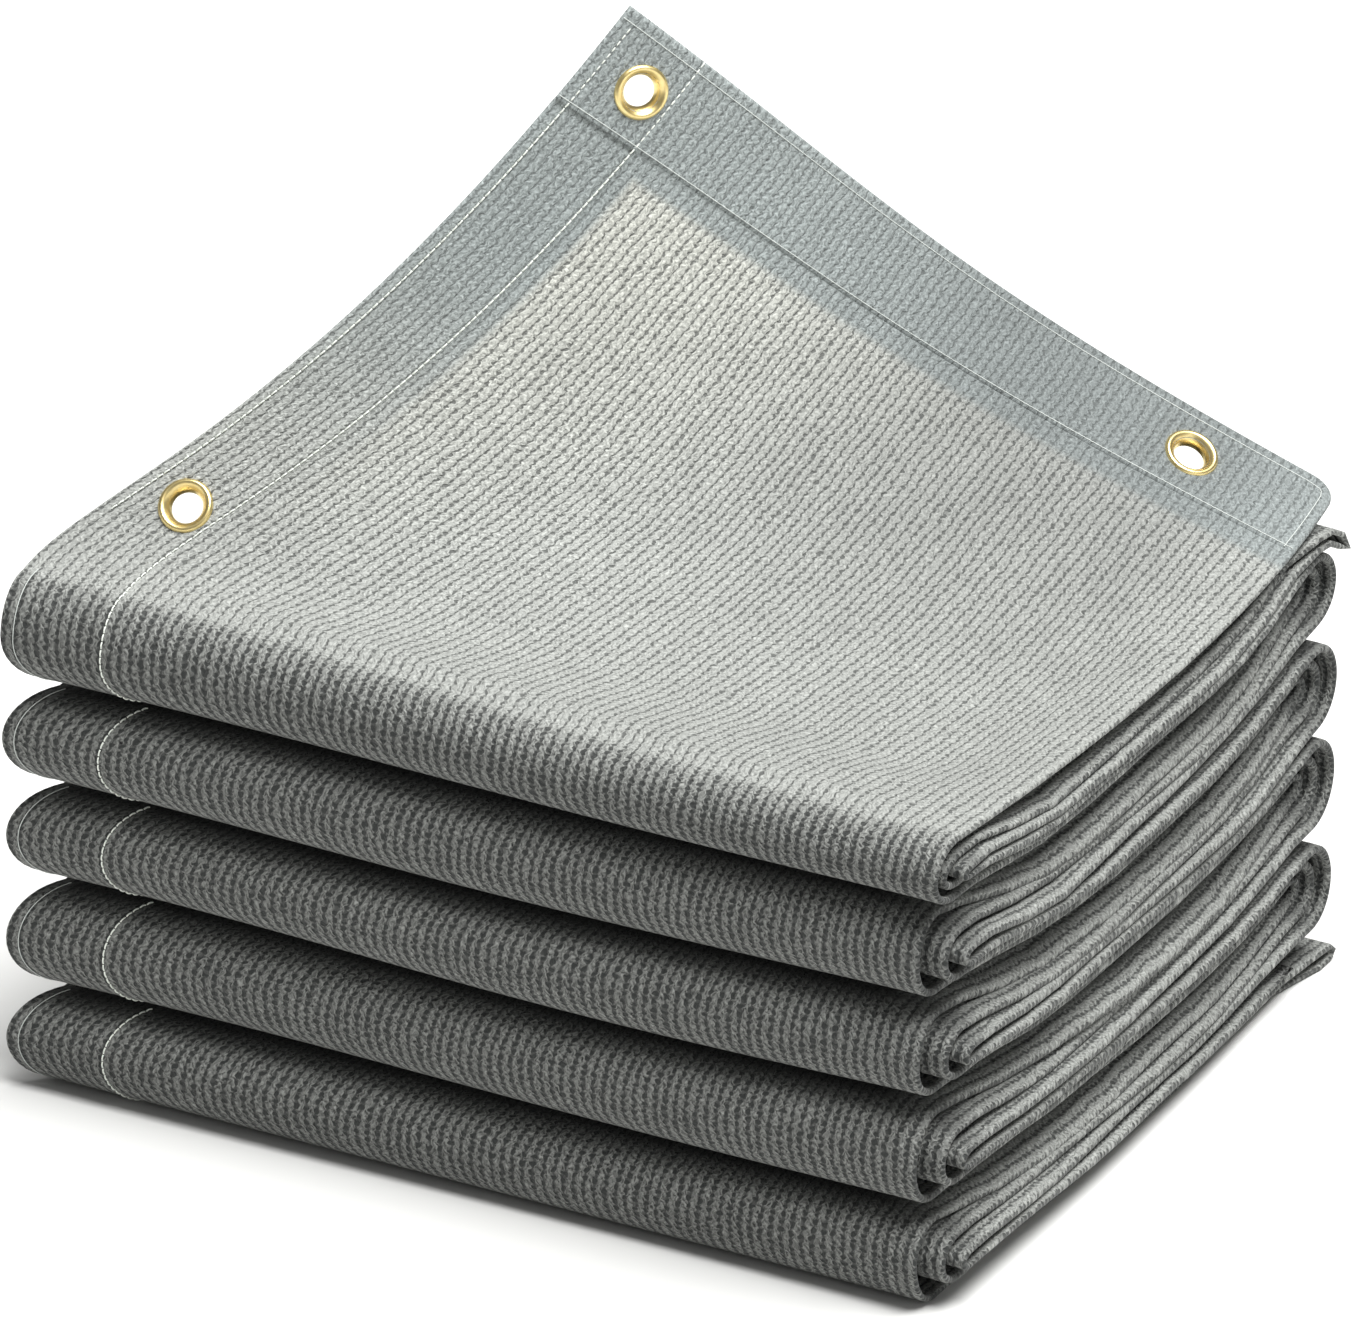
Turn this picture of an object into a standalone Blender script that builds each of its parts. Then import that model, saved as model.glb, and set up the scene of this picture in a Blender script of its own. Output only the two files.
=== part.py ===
"""Knitted shade cloth folded back and forth into a pile, with one corner of the
top layer lifted, a hem along its left and rear edges and three brass eyelets.
Metres; X runs along the folds, the front folds lie at -Y, +Z is up."""
import math

import bmesh
import bpy
from mathutils import Matrix, Vector

# pile
HALF_WIDTH = 0.1945
HALF_DEPTH = 0.1575
SHEET = 0.0028
FOLD_HEIGHTS = (0.0392, 0.0434, 0.0402, 0.0412)
TOP_FOLD_LEFT = 0.0442
TOP_FOLD_RIGHT = 0.0285
FOLD_CLEARANCE = 0.0030
BACK_PINCH = 0.90
SAG = 0.065
SAG_FREE_HEIGHT = 0.003
RIPPLE = 0.0012

# ply, share of the fold height, set back from the fold's face, depth of the fold
PLIES = (
    (0, 1.0, 0.0000, 0.0165),
    (1, 0.6, 0.0070, 0.0125),
    (2, 0.2, 0.0135, 0.0075),
)
# ply, right end at the front fold, in the middle, at the back fold
RIGHT_ENDS = (
    (0.1840, 0.1900, 0.1880),
    (0.1920, 0.1940, 0.1910),
    (0.1970, 0.1970, 0.1945),
)
TOP_FOLD_RIGHT_END = 0.1920
LEFT_ENDS = (-0.1945, -0.1890, -0.1860)
LEFT_ROUNDING = (0.0150, 0.0090, 0.0060)

# share of the width at each line across the cloth, thickness there
LINES = (
    (0.0000, 0.7),
    (0.1144, 1.0),
    (0.2800, 1.0),
    (0.4600, 1.0),
    (0.6400, 1.0),
    (0.8200, 1.0),
    (0.9550, 1.1),
    (0.9850, 1.5),
    (1.0000, 0.8),
)
MOST_THICK = 1.5
ARM_STEPS = (0.14, 0.38, 0.62, 0.86)
FOLD_ANGLES = ((90, 60, 30, 0, -30, -60, -90), (90, 50, 18, -18, -50, -90), (90, 45, 0, -45, -90))

# lifted top layer: edge curves as x, y, z of four control points
LEFT_EDGE = (
    (-0.1945, -0.1410, 0.2052),
    (-0.1953, -0.0910, 0.2165),
    (-0.1098, -0.0865, 0.2584),
    (-0.0319, 0.0264, 0.4008),
)
REAR_EDGE = (
    (-0.0319, 0.0264, 0.4008),
    (0.0471, 0.0877, 0.3108),
    (0.0394, 0.1368, 0.2606),
    (0.1910, 0.1647, 0.1935),
)
RIGHT_EDGE = (
    (0.1920, -0.1410, 0.1895),
    (0.1940, -0.0400, 0.1795),
    (0.1970, 0.0950, 0.1750),
    (0.1910, 0.1647, 0.1935),
)
LIFT_STEPS = (0.035, 0.070, 0.112, 0.216, 0.310, 0.410, 0.520, 0.630, 0.745)
HEM_START = 0.112
HEM_REAR = 0.861
HEM_GAP = 0.0028
HEM_STRIPS = 3
TROUGH_DEPTH = 0.0045
TROUGH_AT = 0.075
TROUGH_WIDTH = 0.045

# y and z of the turn at the rear of the floor layer
FLOOR_TURN = ((0.1500, 0.0014), (0.1585, 0.0014), (0.1615, 0.0036), (0.1585, 0.0060), (0.1500, 0.0070))
# turn at the rear under the lifted layer: distance back, share of the drop, tilt in degrees
TOP_TURN = (
    (0.000, 0.00, 0.0),
    (0.011, 0.16, 18.0),
    (0.019, 0.55, 36.0),
)
TOP_TURN_START = 0.1420
TOP_TURN_REACH = 0.0250
TOP_TURN_DROP = (0.0070, 0.0125)
TOP_TURN_SPACING = 0.0046

# eyelets: name, share across, share along
EYELETS = (
    ("grommet_corner", 0.072, 0.924),
    ("grommet_left", 0.068, 0.165),
    ("grommet_right", 0.845, 0.930),
)
EYELET_HOLE_RADIUS = 0.0074
EYELET_SPAN = 0.015
EYELET_STEPS = 28
# radius and height of the ring's section, from the throat round over the face
EYELET_SECTION = (
    (0.0060, 0.0012),
    (0.0063, 0.0030),
    (0.0072, 0.0041),
    (0.0084, 0.0045),
    (0.0097, 0.0040),
    (0.0105, 0.0030),
    (0.0104, 0.0025),
    (0.0068, 0.0025),
    (0.0068, -0.0025),
    (0.0104, -0.0025),
    (0.0105, -0.0030),
    (0.0090, -0.0038),
    (0.0070, -0.0036),
    (0.0060, -0.0024),
)


CURVE_STEPS = 40
curve_lengths = {}


def smooth(value, low, high):
    share = min(1.0, max(0.0, (value - low) / (high - low)))
    return share * share * (3.0 - 2.0 * share)


def mix(first, second, share):
    return first + (second - first) * share


def fold_height(fold, x):
    if fold < len(FOLD_HEIGHTS):
        return FOLD_HEIGHTS[fold]
    return mix(TOP_FOLD_LEFT, TOP_FOLD_RIGHT, (x + HALF_WIDTH) / (2.0 * HALF_WIDTH))


def fold_base(fold):
    return sum(FOLD_HEIGHTS[:fold])


def front_half(fold, x):
    return fold_height(fold, x) / 2.0 - FOLD_CLEARANCE


def front_middle(fold, x):
    return fold_base(fold) + fold_height(fold, x) / 2.0


def back_half(fold, x):
    both = fold_height(fold, x) + fold_height(fold + 1, x)
    return (both / 4.0 - FOLD_CLEARANCE) * BACK_PINCH


def arm_heights(fold, ply, upper, x):
    """Height of one ply at the front end and at the back end of an arm."""
    share = PLIES[ply][1]
    inner = PLIES[2 - ply][1]
    sign = 1.0 if upper else -1.0
    front = front_middle(fold, x) + sign * share * front_half(fold, x)
    if upper and fold == len(FOLD_HEIGHTS):
        back = fold_base(fold) + (0.0174 if ply == 2 else 0.0174 + TOP_TURN_SPACING)
        back += 0.35 * (fold_height(fold, x) - TOP_FOLD_RIGHT)
    elif upper:
        back = fold_base(fold + 1) - inner * back_half(fold, x)
    elif fold > 0:
        back = fold_base(fold) + inner * back_half(fold - 1, x)
    else:
        back = (FLOOR_TURN[0][1], FLOOR_TURN[-1][1], 0.0125)[ply]
    if ply == 0 and fold == 0 and not upper:
        front = SHEET / 2.0
    return front, back


def arm_point(fold, ply, upper, along, x):
    start = -HALF_DEPTH + PLIES[ply][2] + PLIES[ply][3]
    end = HALF_DEPTH - PLIES[2 - ply][2] - PLIES[2 - ply][3]
    front, back = arm_heights(fold, ply, upper, x)
    height = mix(front, back, smooth(along, 0.0, 1.0))
    if fold > 0 or upper or ply > 0:
        wave = math.sin(9.0 * along + 2.1 * fold + 1.3 * ply + (1.7 if upper else 0.0))
        height += 0.0006 * wave * math.sin(math.pi * along)
    return mix(start, end, along), height


def front_point(fold, ply, angle, x):
    number, share, setback, depth = PLIES[ply]
    turn = math.radians(angle)
    middle = front_middle(fold, x)
    half = share * front_half(fold, x)
    low = SHEET / 2.0 if ply == 0 and fold == 0 else middle - half
    reach = middle - low if angle < 0 else half
    forward = -HALF_DEPTH + setback + depth * (1.0 - math.cos(turn) ** 0.9)
    return forward, middle + reach * math.sin(turn)


def back_point(fold, ply, angle, x):
    number, share, setback, depth = PLIES[2 - ply]
    turn = math.radians(angle)
    rearward = HALF_DEPTH - setback - depth * (1.0 - math.cos(turn) ** 0.9)
    return rearward, fold_base(fold + 1) + share * back_half(fold, x) * math.sin(turn)


def station_point(station, x):
    """y and z of a station of the fold path at one place across the width."""
    kind, fold, ply, value = station
    if kind == "front":
        return front_point(fold, ply, value, x)
    if kind == "back":
        return back_point(fold, ply, value, x)
    if kind == "upper":
        return arm_point(fold, ply, True, value, x)
    if kind == "lower":
        return arm_point(fold, ply, False, value, x)
    if kind == "floor":
        return FLOOR_TURN[value]
    # turn at the rear of the layer under the lifted one
    side = (x + HALF_WIDTH) / (2.0 * HALF_WIDTH)
    drop = mix(TOP_TURN_DROP[0], TOP_TURN_DROP[1], side)
    low = arm_heights(fold, 2, True, x)[1]
    if value == "tip":
        back = TOP_TURN_START + mix(0.018, TOP_TURN_REACH, side)
        return back, low + TOP_TURN_SPACING / 2.0 - drop * 1.02
    away, share, tilt = TOP_TURN[value]
    tilt = math.radians(tilt) * mix(0.6, 1.0, side)
    apart = TOP_TURN_SPACING / 2.0 * (1.0 if ply == 1 else -1.0)
    back = TOP_TURN_START + away * mix(0.75, 1.0, side) + apart * math.sin(tilt)
    return back, low + TOP_TURN_SPACING / 2.0 - drop * share + apart * math.cos(tilt)


def station_ends(station):
    """x of the left and right ends of the cloth at a station."""
    kind, fold, ply, value = station
    front, middle, back = RIGHT_ENDS[ply]
    if fold == len(FOLD_HEIGHTS) and ply == 0:
        front = TOP_FOLD_RIGHT_END
    turned = 1.0
    if kind == "front":
        right = front
        turned = 1.0 - math.cos(math.radians(value))
        if fold == len(FOLD_HEIGHTS) and ply == 0 and value > 0:
            turned = 0.0
    elif kind == "back":
        right = back
    elif kind in ("upper", "lower"):
        right = mix(mix(front, middle, smooth(value, 0.0, 0.5)), back, smooth(value, 0.6, 1.0))
    elif kind == "floor":
        right = HALF_WIDTH
    else:
        right = 0.1960
    return LEFT_ENDS[ply] + LEFT_ROUNDING[ply] * turned, right


def settle(x, y, z):
    """Sag of the pile between its folds and the slight unevenness of the cloth."""
    loaded = smooth(y, -0.140, -0.060) * (1.0 - smooth(y, 0.080, 0.150))
    above = max(0.0, z - SAG_FREE_HEIGHT)
    lift = RIPPLE * math.sin(17.0 * x + 0.8) * math.sin(11.0 * y + 0.5) * min(1.0, above / 0.05)
    lean = RIPPLE * math.sin(14.0 * x + 45.0 * z) * min(1.0, above / 0.02)
    return Vector((x, y + lean, z - SAG * loaded * above + lift))


def curve_at(controls, share):
    first, second, third, fourth = (Vector(point) for point in controls)
    rest = 1.0 - share
    return (
        first * rest ** 3
        + second * 3.0 * rest * rest * share
        + third * 3.0 * rest * share * share
        + fourth * share ** 3
    )


def curve_point(controls, share):
    """Point at a share of the curve's length."""
    if controls not in curve_lengths:
        points = [curve_at(controls, step / CURVE_STEPS) for step in range(CURVE_STEPS + 1)]
        lengths = [0.0]
        for step in range(CURVE_STEPS):
            lengths.append(lengths[-1] + (points[step + 1] - points[step]).length)
        curve_lengths[controls] = lengths
    lengths = curve_lengths[controls]
    wanted = min(max(share, 0.0), 1.0) * lengths[-1]
    step = 0
    while step < CURVE_STEPS - 1 and lengths[step + 1] < wanted:
        step += 1
    part = (wanted - lengths[step]) / (lengths[step + 1] - lengths[step])
    return curve_at(controls, (step + part) / CURVE_STEPS)


def lifted_point(across, along):
    """Point of the lifted top layer between its four edge curves."""
    left, right = station_ends(("front", len(FOLD_HEIGHTS), 0, 90))
    x = mix(left, right, across)
    y, z = front_point(len(FOLD_HEIGHTS), 0, 90, x)
    front = settle(x, y, z)
    front_left = settle(left, *front_point(len(FOLD_HEIGHTS), 0, 90, left))
    front_right = settle(right, *front_point(len(FOLD_HEIGHTS), 0, 90, right))
    rear = curve_point(REAR_EDGE, across)
    left_edge = curve_point(LEFT_EDGE, along) + (front_left - Vector(LEFT_EDGE[0])) * (1.0 - along)
    right_edge = curve_point(RIGHT_EDGE, along) + (front_right - Vector(RIGHT_EDGE[0])) * (1.0 - along)
    corners = (front_left * (1.0 - across) + front_right * across) * (1.0 - along)
    corners += (Vector(REAR_EDGE[0]) * (1.0 - across) + Vector(REAR_EDGE[3]) * across) * along
    point = front * (1.0 - along) + rear * along
    point += left_edge * (1.0 - across) + right_edge * across - corners
    valley = math.exp(-((along - TROUGH_AT) / TROUGH_WIDTH) ** 2) * smooth(along, 0.0, 0.04)
    point.z -= TROUGH_DEPTH * valley * math.sin(math.pi * across) ** 0.6
    return point


def eyelet_seat(across, along):
    """Middle and normal of the nearly flat patch that holds an eyelet."""
    step = EYELET_SPAN
    corners = [
        lifted_point(across + over * step, along + back * step)
        for over, back in ((-1, -1), (1, -1), (1, 1), (-1, 1))
    ]
    normal = (corners[2] - corners[0]).cross(corners[3] - corners[1]).normalized()
    return sum(corners, Vector()) / 4.0, normal


def downward_path(ply):
    """Stations of one ply from the top front fold down to the floor layer."""
    path = []
    top = len(FOLD_HEIGHTS)
    for fold in range(top, -1, -1):
        path += [("front", fold, ply, angle) for angle in FOLD_ANGLES[ply]]
        path += [("lower", fold, ply, step) for step in ARM_STEPS]
        if fold > 0:
            path += [("back", fold - 1, ply, angle) for angle in FOLD_ANGLES[2 - ply]]
            path += [("upper", fold - 1, ply, step) for step in reversed(ARM_STEPS)]
    return path


def whole_path():
    top = len(FOLD_HEIGHTS)
    path = downward_path(0)
    path += [("floor", 0, 0 if number < 3 else 1, number) for number in range(len(FLOOR_TURN))]
    path += list(reversed(downward_path(1)))
    path += [("upper", top, 1, step) for step in ARM_STEPS]
    path += [("turn", top, 1, number) for number in range(len(TOP_TURN))]
    path += [("turn", top, 1, "tip")]
    path += [("turn", top, 2, number) for number in reversed(range(len(TOP_TURN)))]
    path += [("upper", top, 2, step) for step in reversed(ARM_STEPS)]
    path += downward_path(2)
    return path


def station_row(station):
    left, right = station_ends(station)
    row = []
    for share, thickness in LINES:
        x = mix(left, right, share)
        y, z = station_point(station, x)
        row.append(settle(x, y, z))
    return row


def most_thick(station):
    """Tight turns and the layer on the floor keep the plain thickness."""
    kind, fold, ply, value = station
    tight = (kind == "front" and ply == 2) or (kind == "back" and ply == 0)
    if kind in ("floor", "turn") or tight or (fold == 0 and kind in ("front", "lower")):
        return 1.0
    return 1.15 if fold == len(FOLD_HEIGHTS) else MOST_THICK


def clear_scene():
    for item in list(bpy.data.objects):
        bpy.data.objects.remove(item, do_unlink=True)


def make_material(name, colour, metallic, roughness):
    material = bpy.data.materials.new(name)
    material.use_nodes = True
    shader = material.node_tree.nodes["Principled BSDF"]
    shader.inputs["Base Color"].default_value = (*colour, 1.0)
    shader.inputs["Metallic"].default_value = metallic
    shader.inputs["Roughness"].default_value = roughness
    return material


def sheet_object(name, rows, weights, skipped, material, collection):
    """A thin layer between rows of points, thickened to both sides by a weight a point."""
    columns = len(rows[0])
    points = [point for row in rows for point in row]
    faces = []
    for row in range(len(rows) - 1):
        for column in range(columns - 1):
            if (row, column) in skipped:
                continue
            start = row * columns + column
            faces.append((start, start + columns, start + columns + 1, start + 1))
    mesh = bpy.data.meshes.new(name)
    mesh.from_pydata(points, [], faces)
    item = bpy.data.objects.new(name, mesh)
    collection.objects.link(item)
    mesh.materials.append(material)
    group = item.vertex_groups.new(name="thickness")
    for number in range(len(points)):
        weight = weights[number // columns][number % columns]
        group.add([number], weight / MOST_THICK, "REPLACE")
    tidy = bmesh.new()
    tidy.from_mesh(mesh)
    bmesh.ops.delete(tidy, geom=[v for v in tidy.verts if not v.link_faces], context="VERTS")
    tidy.to_mesh(mesh)
    tidy.free()
    thicken = item.modifiers.new("Thickness", "SOLIDIFY")
    thicken.thickness = SHEET * MOST_THICK
    thicken.offset = 0.0
    thicken.vertex_group = "thickness"
    return item


def make_cloth(material, collection):
    path = whole_path()
    lifted = (*LIFT_STEPS, HEM_REAR)
    rows = [[lifted_point(share, step) for share, thick in LINES] for step in reversed(lifted)]
    hem_rows = sum(1 for step in lifted if step > HEM_START - 0.0001)
    weights = [[min(thick, 1.0) for share, thick in LINES] for row in rows]
    for station in path:
        rows.append(station_row(station))
        weights.append([min(thick, most_thick(station)) for share, thick in LINES])
    skipped = {(row, 0) for row in range(hem_rows - 1)}
    return sheet_object("cloth", rows, weights, skipped, material, collection)


def halved(values):
    """The values with one more half way between each two."""
    result = [values[0]]
    for first, second in zip(values, values[1:]):
        result += [(first + second) / 2.0, second]
    return result


def beside_cloth(values, value):
    """The two values that a value lies between and its share of the way."""
    for first, second in zip(values, values[1:]):
        if value <= second + 0.00001:
            return first, second, (value - first) / (second - first)
    return values[-2], values[-1], 1.0


def make_hem(material, collection):
    inner_side = LINES[1][0] - HEM_GAP
    inner_rear = HEM_REAR + HEM_GAP
    steps = [HEM_START + HEM_GAP] + [step for step in LIFT_STEPS if step > HEM_START + 0.01]
    steps += [inner_rear]
    shares = [inner_side] + [share for share, thick in LINES[2:]]
    narrow = [inner_side * number / HEM_STRIPS for number in range(HEM_STRIPS)]
    deep = [mix(inner_rear, 1.0, number / HEM_STRIPS) for number in range(1, HEM_STRIPS + 1)]
    all_steps = halved(steps) + deep
    all_shares = narrow + halved(shares)
    rows = []
    for step in reversed(all_steps):
        row = []
        for share in all_shares:
            if step == inner_rear and share > inner_side:
                first, second, part = beside_cloth(shares, share)
                row.append(lifted_point(first, step).lerp(lifted_point(second, step), part))
            elif share == inner_side and step < inner_rear:
                first, second, part = beside_cloth(steps, step)
                row.append(lifted_point(share, first).lerp(lifted_point(share, second), part))
            else:
                row.append(lifted_point(share, step))
        rows.append(row)
    skipped = set()
    for row in range(HEM_STRIPS, len(rows) - 1):
        for column in range(HEM_STRIPS, len(all_shares) - 1):
            skipped.add((row, column))
    weights = [[0.8] + [1.0] * (len(all_shares) - 2) + [0.8] for row in rows]
    return sheet_object("eyelet_hem", rows, weights, skipped, material, collection)


def eyelet_matrix(across, along):
    middle, normal = eyelet_seat(across, along)
    side = Vector((1.0, 0.0, 0.0))
    side = (side - normal * side.dot(normal)).normalized()
    turned = Matrix((side, normal.cross(side), normal)).transposed().to_4x4()
    turned.translation = middle
    return turned


def make_eyelet(name, across, along, material, collection):
    mesh = bpy.data.meshes.new(name)
    points = [(radius, 0.0, height) for radius, height in EYELET_SECTION]
    edges = [(number, (number + 1) % len(points)) for number in range(len(points))]
    mesh.from_pydata(points, edges, [])
    mesh.materials.append(material)
    item = bpy.data.objects.new(name, mesh)
    collection.objects.link(item)
    item.matrix_world = eyelet_matrix(across, along)
    turn = item.modifiers.new("Turned ring", "SCREW")
    turn.axis = "Z"
    turn.steps = EYELET_STEPS
    turn.render_steps = EYELET_STEPS
    turn.use_merge_vertices = True
    turn.merge_threshold = 0.00001
    turn.use_normal_calculate = True
    return item


def cut_eyelet_hole(hem, name, across, along, cutters):
    bpy.ops.mesh.primitive_cylinder_add(vertices=EYELET_STEPS, radius=EYELET_HOLE_RADIUS, depth=0.03)
    tool = bpy.context.active_object
    tool.name = name + "_hole"
    for owner in list(tool.users_collection):
        owner.objects.unlink(tool)
    cutters.objects.link(tool)
    tool.matrix_world = eyelet_matrix(across, along)
    tool.hide_render = True
    tool.display_type = "WIRE"
    cut = hem.modifiers.new("Hole " + name, "BOOLEAN")
    cut.operation = "DIFFERENCE"
    cut.solver = "EXACT"
    cut.object = tool


def main():
    clear_scene()
    parts = bpy.data.collections.new("shade_cloth")
    cutters = bpy.data.collections.new("hole_tools")
    bpy.context.scene.collection.children.link(parts)
    bpy.context.scene.collection.children.link(cutters)
    knit = make_material("grey_knit", (0.30, 0.31, 0.30), 0.0, 0.85)
    hem_knit = make_material("grey_hem", (0.22, 0.24, 0.24), 0.0, 0.85)
    brass = make_material("polished_brass", (0.83, 0.63, 0.24), 1.0, 0.22)
    make_cloth(knit, parts)
    hem = make_hem(hem_knit, parts)
    for name, across, along in EYELETS:
        cut_eyelet_hole(hem, name, across, along, cutters)
        make_eyelet(name, across, along, brass, parts)


main()
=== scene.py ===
import math

import bmesh
import bpy
import numpy as np
from mathutils import Matrix, Vector


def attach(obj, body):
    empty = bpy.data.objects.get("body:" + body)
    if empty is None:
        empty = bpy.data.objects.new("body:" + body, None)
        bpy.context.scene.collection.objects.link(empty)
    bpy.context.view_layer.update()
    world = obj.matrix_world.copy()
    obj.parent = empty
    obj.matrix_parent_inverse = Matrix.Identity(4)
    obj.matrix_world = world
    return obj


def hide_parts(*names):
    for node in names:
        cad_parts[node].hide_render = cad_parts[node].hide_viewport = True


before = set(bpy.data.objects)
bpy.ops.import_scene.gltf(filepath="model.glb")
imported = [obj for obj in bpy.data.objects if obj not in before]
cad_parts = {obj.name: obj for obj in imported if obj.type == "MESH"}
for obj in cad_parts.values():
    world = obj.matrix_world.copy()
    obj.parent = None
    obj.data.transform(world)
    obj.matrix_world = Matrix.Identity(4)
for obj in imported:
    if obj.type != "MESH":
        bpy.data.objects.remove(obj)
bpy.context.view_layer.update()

print("frame loaded")

# the photograph's camera: angles in radians, picture scale in pixels a metre
studio = {
    "turn": 0.4897,
    "height": 0.4769,
    "scale": 2689.95,
    "middleX": 0.0018,
    "middleY": 0.1311,
    "distance": 8.05,
    "pictureWidth": 1356,
    "sensorWidth": 36.0,
    "aimHeight": 0.12,
    "floorSize": 14.0,
    "floorColour": "#dededc",
    "skyStrength": 0.15,
    "overheadAngle": 0.70,
    "overheadPower": 6.0,
}


def linearColour(code):
    channels = [int(code[at:at + 2], 16) / 255.0 for at in (1, 3, 5)]
    return tuple(c / 12.92 if c <= 0.04045 else ((c + 0.055) / 1.055) ** 2.4 for c in channels) + (1.0,)


def addNode(tree, kind, settings=None, inputs=None):
    node = tree.nodes.new(kind)
    for name, value in (settings or {}).items():
        setattr(node, name, value)
    for name, value in (inputs or {}).items():
        if isinstance(value, bpy.types.Node):
            value = value.outputs[0]
        if isinstance(value, bpy.types.NodeSocket):
            tree.links.new(value, node.inputs[name])
        else:
            node.inputs[name].default_value = value
    return node


def newMaterial(name):
    material = bpy.data.materials.new(name)
    material.use_nodes = True
    tree = material.node_tree
    return material, tree, tree.nodes["Principled BSDF"]


def workSums(tree, values, sums):
    # each line: result, operation, then names of earlier results or plain numbers
    for result, operation, *terms in sums:
        node = addNode(tree, "ShaderNodeMath", {"operation": operation})
        for number, term in enumerate(terms):
            if isinstance(term, str):
                tree.links.new(values[term], node.inputs[number])
            else:
                node.inputs[number].default_value = term
        values[result] = node.outputs[0]
    return values


def aimedAt(place, target):
    ahead = (Vector(target) - Vector(place)).normalized()
    return ahead.to_track_quat("-Z", "Y").to_matrix().to_4x4()


def makeStudio():
    scene = bpy.context.scene
    scene.view_settings.view_transform = "Standard"
    turn, height = studio["turn"], studio["height"]
    right = Vector((math.cos(turn), math.sin(turn), 0.0))
    up = Vector((-math.sin(turn) * math.sin(height), math.cos(turn) * math.sin(height), math.cos(height)))
    ahead = Vector((-math.sin(turn) * math.cos(height), math.cos(turn) * math.cos(height), -math.sin(height)))
    data = bpy.data.cameras.new("camera")
    camera = bpy.data.objects.new("camera", data)
    scene.collection.objects.link(camera)
    turned = Matrix((right, up, -ahead)).transposed().to_4x4()
    turned.translation = right * studio["middleX"] + up * studio["middleY"] - ahead * studio["distance"]
    camera.matrix_world = turned
    data.sensor_fit = "HORIZONTAL"
    data.sensor_width = studio["sensorWidth"]
    data.lens = studio["sensorWidth"] * studio["scale"] * studio["distance"] / studio["pictureWidth"]
    data.clip_end = 100.0
    scene.camera = camera

    # a broad even light from overhead, a little to the right, and weak fills from the front and the right
    # each line: name, kind, place, angle or size, power
    lamps = (
        ("overhead", "SUN", (0.46, 0.02, 1.9), studio["overheadAngle"], studio["overheadPower"]),
        ("frontFill", "AREA", (-1.6, -2.2, 1.2), 1.6, 2.0),
        ("sideFill", "AREA", (2.4, -0.9, 0.9), 1.4, 6.0),
    )
    for name, kind, place, size, power in lamps:
        lamp = bpy.data.lights.new(name, kind)
        if kind == "SUN":
            lamp.angle = size
        else:
            lamp.shape = "DISK"
            lamp.size = size
        lamp.energy = power
        item = bpy.data.objects.new(name, lamp)
        item.matrix_world = Matrix.Translation(place) @ aimedAt(place, (0.0, 0.0, studio["aimHeight"]))
        scene.collection.objects.link(item)

    world = bpy.data.worlds.new("studioAir")
    world.use_nodes = True
    background = world.node_tree.nodes["Background"]
    background.inputs["Color"].default_value = (1.0, 1.0, 1.0, 1.0)
    background.inputs["Strength"].default_value = studio["skyStrength"]
    scene.world = world

    # painted board, matt: even and almost white
    material, _, shader = newMaterial("mattPaintedBoard")
    shader.inputs["Base Color"].default_value = linearColour(studio["floorColour"])
    shader.inputs["Roughness"].default_value = 0.9
    shader.inputs["Specular IOR Level"].default_value = 0.1
    half = studio["floorSize"] / 2.0
    mesh = bpy.data.meshes.new("floor")
    mesh.from_pydata([(-half, -half, 0), (half, -half, 0), (half, half, 0), (-half, half, 0)], [], [(0, 1, 2, 3)])
    mesh.materials.append(material)
    floor = bpy.data.objects.new("floor", mesh)
    scene.collection.objects.link(floor)


makeStudio()
print("camera, lights and floor ready")

# the folded cloth, metres; folds run along X and the front folds lie at -Y
pile = {
    "halfWidth": 0.1945,
    "halfDepth": 0.1575,
    "bottom": 0.0014,
    "foldHeights": (0.0392, 0.0434, 0.0402, 0.0412),
    "topFoldLeft": 0.0442,
    "topFoldRight": 0.0285,
    "foldClearance": 0.0030,
    "backPinch": 0.90,
    "armSlopes": 0.35,
    "armWave": 0.0006,
    "armWaveTurns": 9.0,
    # the middle of the pile sags by this share of its height; where that begins and ends along the depth
    "sag": 0.065,
    "sagFreeHeight": 0.003,
    "sagFront": (-0.140, -0.060),
    "sagBack": (0.080, 0.150),
    # unevenness in metres, and its turns a metre across, along and up
    "ripple": 0.0012,
    "rippleTurns": (17.0, 11.0),
    "leanTurns": (14.0, 45.0),
    # ply: share of the fold height, set back from the face, depth of the fold
    "plies": ((1.0, 0.0, 0.0165), (0.6, 0.0070, 0.0125), (0.2, 0.0135, 0.0075)),
    # ply: right end at the front fold, in the middle, at the back fold
    "rightEnds": ((0.1840, 0.1900, 0.1880), (0.1920, 0.1940, 0.1910), (0.1970, 0.1970, 0.1945)),
    "topFoldRightEnd": 0.1920,
    "topTurnRightEnd": 0.1960,
    "leftEnds": (-0.1945, -0.1890, -0.1860),
    "leftRounding": (0.0150, 0.0090, 0.0060),
    "frontSteps": (20, 14, 10),
    "armSteps": 10,
    "floorPly": 0.0125,
    "floorTurn": ((0.1500, 0.0014), (0.1585, 0.0014), (0.1615, 0.0036), (0.1585, 0.0060), (0.1500, 0.0070)),
    # the turn of the second layer at the rear: distance from its start, share of its drop, tilt in degrees
    "topTurn": ((0.000, 0.00, 0.0), (0.011, 0.16, 18.0), (0.019, 0.55, 36.0)),
    "topTurnHeight": 0.0174,
    "topTurnStart": 0.1420,
    # at the left end and at the right end
    "topTurnReach": (0.018, 0.0250),
    "topTurnDrop": (0.0070, 0.0125),
    "topTurnLeftShare": (0.6, 0.75),
    "topTurnSpacing": 0.0046,
}

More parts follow.
